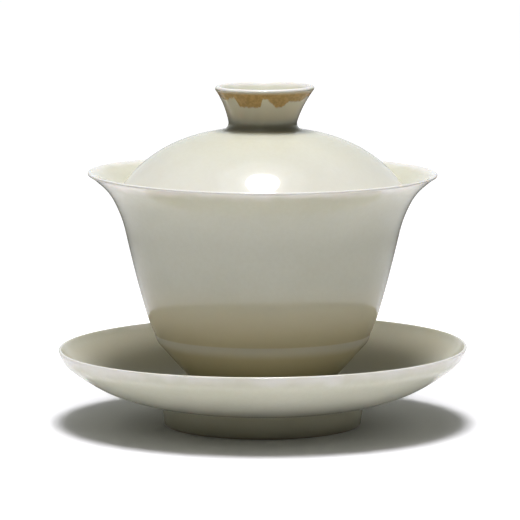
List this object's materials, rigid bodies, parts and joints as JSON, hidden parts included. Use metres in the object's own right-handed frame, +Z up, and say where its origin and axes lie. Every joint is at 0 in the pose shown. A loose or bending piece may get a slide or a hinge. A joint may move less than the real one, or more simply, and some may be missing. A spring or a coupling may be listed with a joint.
{
  "type": "gaiwan",
  "caption": "Lidded tea bowl: a flared handleless bowl in a footed saucer, closed by a domed lid with a hollow ring knob, in pale celadon glaze.",
  "frame": {"origin": "on the ware's axis, at the plane the saucer's foot ring stands on", "axes": "+Z up along the common axis of saucer, bowl and lid; +X and +Y are any two directions across it, the reference front is -Y"},
  "size_m": [0.1174, 0.1174, 0.0978],
  "materials": {
    "saucer_glaze": "glossy pale celadon glaze, unglazed foot edge",
    "bowl_glaze": "glossy pale celadon glaze, unglazed foot edge",
    "lid_glaze": "glossy pale celadon glaze, ochre iron blush below the knob's lip"
  },
  "bodies": {
    "saucer": {"saucer": "saucer_glaze"},
    "bowl": {"bowl": "bowl_glaze"},
    "lid": {"lid": "lid_glaze"}
  },
  "joints": [
    {"name": "bowl_lift", "type": "slide", "parent": "saucer", "child": "bowl", "axis": [0, 0, 1], "range_m": [0, 0.04]},
    {"name": "lid_lift", "type": "slide", "parent": "bowl", "child": "lid", "axis": [0, 0, 1], "range_m": [0, 0.06]}
  ]
}
